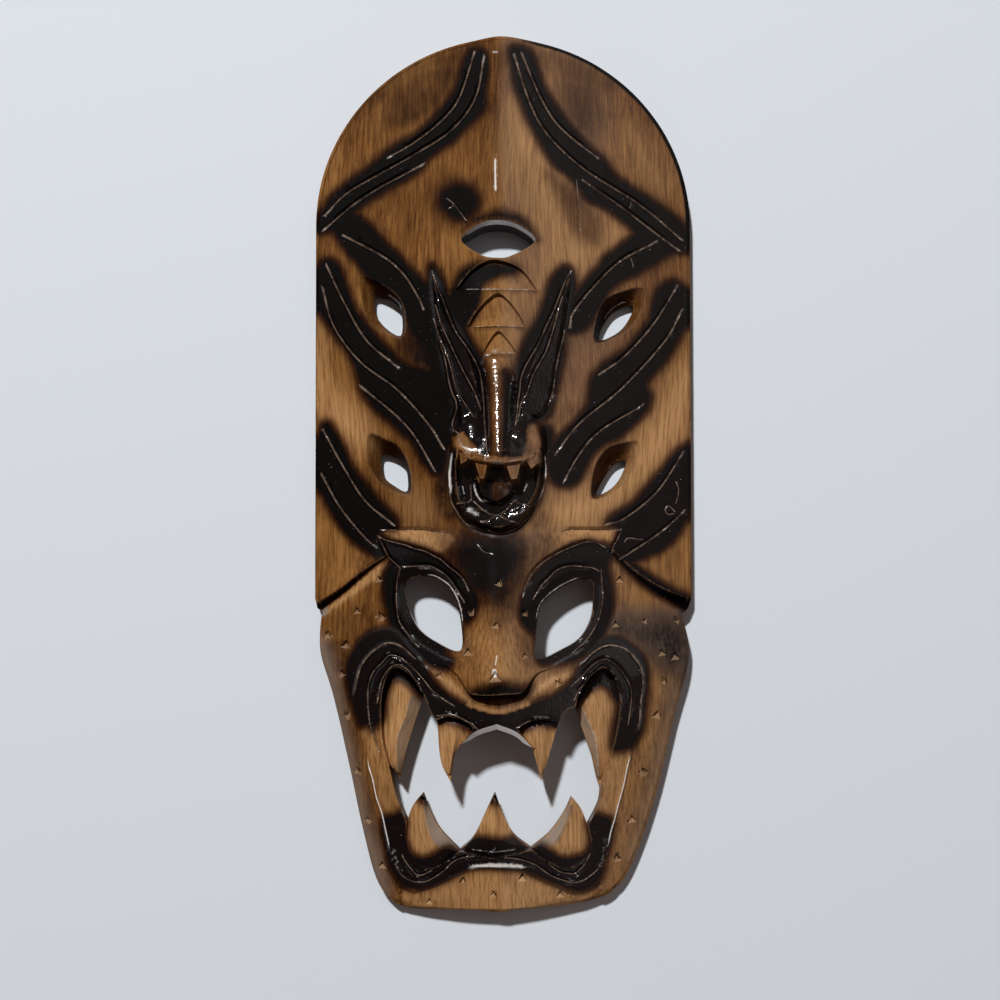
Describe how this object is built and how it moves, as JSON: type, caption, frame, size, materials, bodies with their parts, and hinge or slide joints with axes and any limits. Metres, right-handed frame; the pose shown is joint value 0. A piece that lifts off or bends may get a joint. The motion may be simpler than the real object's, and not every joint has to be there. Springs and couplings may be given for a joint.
{
  "type": "tiki mask",
  "caption": "Tall carved wooden wall mask: an arched headdress with a dragon's head in relief above an open-mouthed, fanged monster's face.",
  "frame": {"origin": "middle of the mask's outline, on the flat of its back", "axes": "+Y towards the top of the headdress, +X to the right as one looks at the face, +Z out of the face"},
  "size_m": [0.22, 0.508, 0.0406],
  "materials": {
    "lacquered wood": "burnt and lacquered, glossy"
  },
  "bodies": {
    "root": {"mask": "lacquered wood"}
  },
  "joints": []
}
